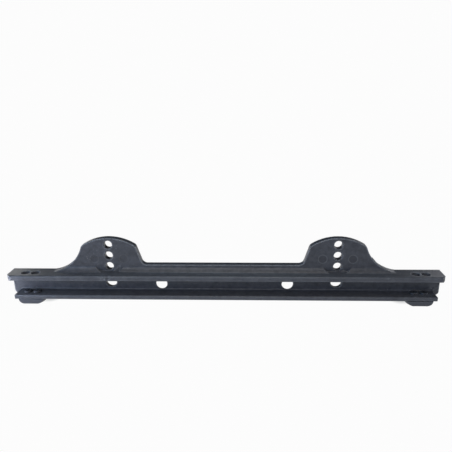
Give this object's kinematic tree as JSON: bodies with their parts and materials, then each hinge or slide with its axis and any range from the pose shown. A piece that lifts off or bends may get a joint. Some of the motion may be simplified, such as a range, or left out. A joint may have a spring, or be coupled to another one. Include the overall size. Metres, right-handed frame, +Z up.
{
  "type": "seat slide rail",
  "caption": "Moulded plastic channel rail that carries a seat: drilled ears with height holes stand on its top flange, and round screwed-on feet stand under its ends.",
  "frame": {"origin": "under the middle of the rail, on the surface that the feet stand on", "axes": "+X along the rail, -Y out of the open side of the channel, +Z up"},
  "size_m": [0.38, 0.0196, 0.0579],
  "materials": {
    "rail_plastic": "satin moulded, with flow marks and rubbed edges",
    "foot_plastic": "smooth moulded",
    "screw_steel": "blackened"
  },
  "bodies": {
    "root": {"rail": "rail_plastic", "left_foot": "foot_plastic", "right_foot": "foot_plastic", "foot_screws": "screw_steel"}
  },
  "joints": []
}
